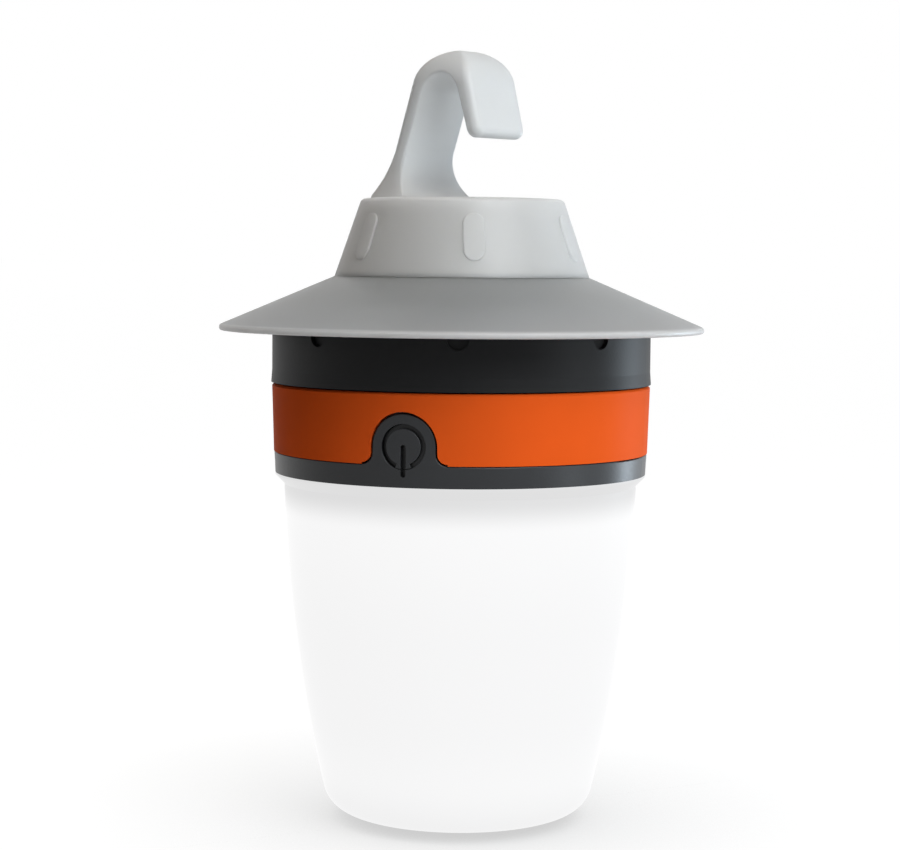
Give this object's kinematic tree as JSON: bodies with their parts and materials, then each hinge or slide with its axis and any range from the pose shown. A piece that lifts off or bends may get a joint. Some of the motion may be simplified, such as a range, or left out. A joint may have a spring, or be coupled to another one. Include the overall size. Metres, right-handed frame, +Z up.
{
  "type": "camping lantern",
  "caption": "Battery camping lantern that hangs by a moulded pole hook: frosted globe, coloured collar with a push button, twist-off battery cap and a translucent pull-off shade.",
  "frame": {"origin": "on the lantern's axis, at the flat foot of the globe", "axes": "+Z up along the axis as the lantern hangs, -Y towards the power button, +X to the right of it"},
  "size_m": [0.11, 0.11, 0.1745],
  "materials": {
    "frosted_globe": "frosted, lets light through",
    "frosted_shade": "translucent satin",
    "charcoal_cap": "fine matte grain",
    "orange_band": "satin gloss",
    "grey_rubber": "matte",
    "core_plastic": "moulded",
    "seal_rubber": "smooth",
    "bare_aluminium": "satin",
    "light_board": "white mask",
    "emitter": "phosphor",
    "clear_lens": "clear",
    "white_reflector": "white gloss",
    "screw_steel": "zinc plated",
    "green_board": "solder mask",
    "black_component": "moulded",
    "copper_lead": "tinned",
    "nickel_contact": "nickel plated",
    "carrier_plastic": "moulded",
    "cell_can": "satin can"
  },
  "bodies": {
    "core": {"globe": "frosted_globe", "globe_seal": "seal_rubber", "lower_ring": "grey_rubber", "orange_band": "orange_band", "housing": "core_plastic", "heat_spreader": "bare_aluminium", "led_board": "light_board", "led_emitter": "emitter", "led_lens": "clear_lens", "reflector": "white_reflector", "light_screws": "screw_steel", "driver_board": "green_board", "tact_switch": "black_component", "inductor": "black_component", "driver_chip": "black_component", "capacitors": "bare_aluminium", "light_leads": "copper_lead", "battery_leads": "copper_lead", "contact_board": "green_board", "contact_fingers": "nickel_contact", "battery_well": "core_plastic", "well_screws": "screw_steel", "battery_carrier": "carrier_plastic", "carrier_terminals": "nickel_contact", "flat_contacts": "nickel_contact", "spring_contacts": "nickel_contact", "cap_seal": "seal_rubber", "battery_cell_1": "cell_can", "battery_cell_2": "cell_can", "battery_cell_3": "cell_can"},
    "button": {"power_button": "grey_rubber", "switch_plunger": "black_component"},
    "cap": {"battery_cap": "charcoal_cap"},
    "hood": {"hook_cap": "frosted_shade", "shade_brim": "frosted_shade"}
  },
  "joints": [
    {"name": "button_press", "type": "slide", "parent": "core", "child": "button", "axis": [0, 1, 0], "range_m": [0, 0.0005], "stiffness_N_per_m": 2000, "springref_m": -0.0005},
    {"name": "cap_twist", "type": "hinge", "parent": "core", "child": "cap", "pos_m": [0, 0, 0.1], "axis": [0, 0, 1], "range_deg": [0, 30]},
    {"name": "hood_pull", "type": "slide", "parent": "cap", "child": "hood", "axis": [0, 0, 1], "range_m": [0, 0.045]}
  ]
}
